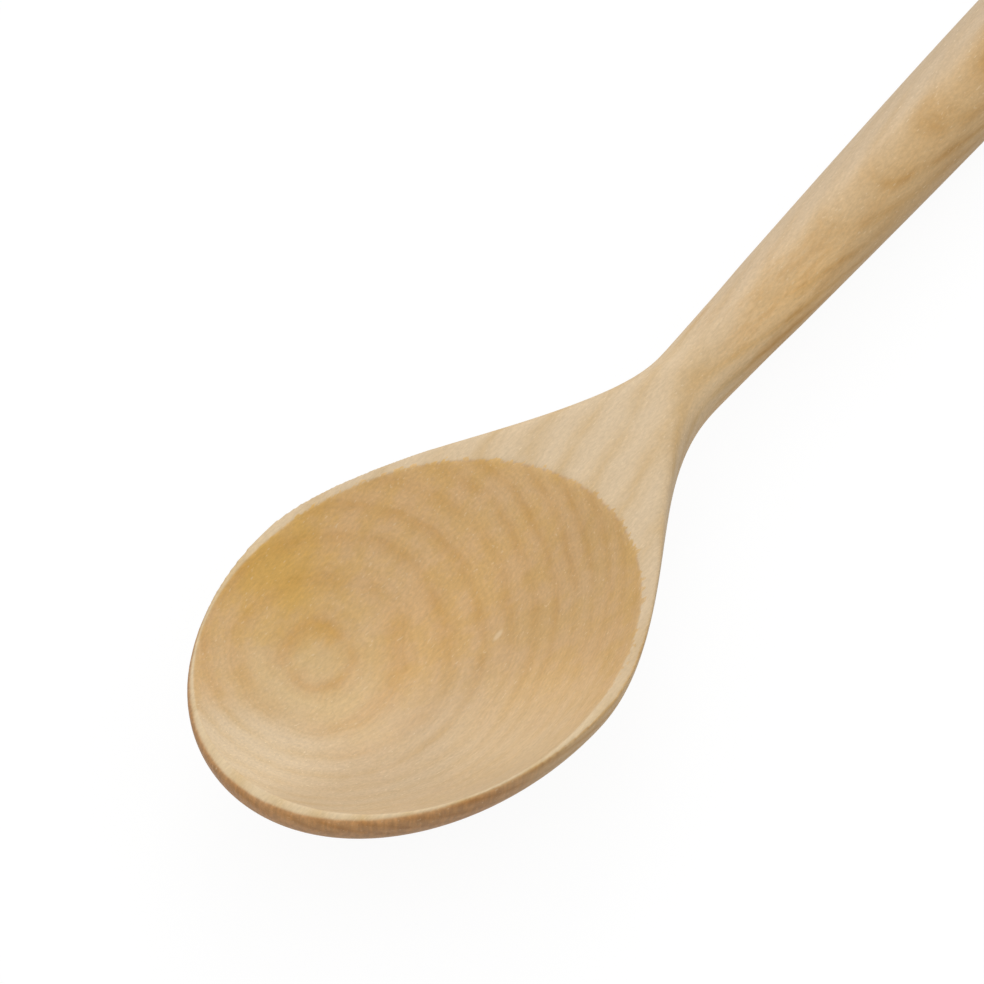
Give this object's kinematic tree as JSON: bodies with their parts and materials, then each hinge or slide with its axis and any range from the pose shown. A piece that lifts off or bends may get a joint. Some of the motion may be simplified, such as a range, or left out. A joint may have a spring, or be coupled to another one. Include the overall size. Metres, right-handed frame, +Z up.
{
  "type": "wooden ladle",
  "caption": "One-piece wooden ladle with a shallow egg-shaped bowl, a flat rim and shoulder, and a round handle that swells towards the grip, for stirring and serving.",
  "frame": {"origin": "on the table, under the middle of the box that the resting ladle fills", "axes": "+X from the tip of the bowl towards the end of the handle, +Y across the bowl, +Z up from the table"},
  "size_m": [0.2998, 0.064, 0.0205],
  "materials": {
    "wood": "sanded smooth, thin oil, satin"
  },
  "bodies": {
    "root": {"ladle": "wood"}
  },
  "joints": []
}
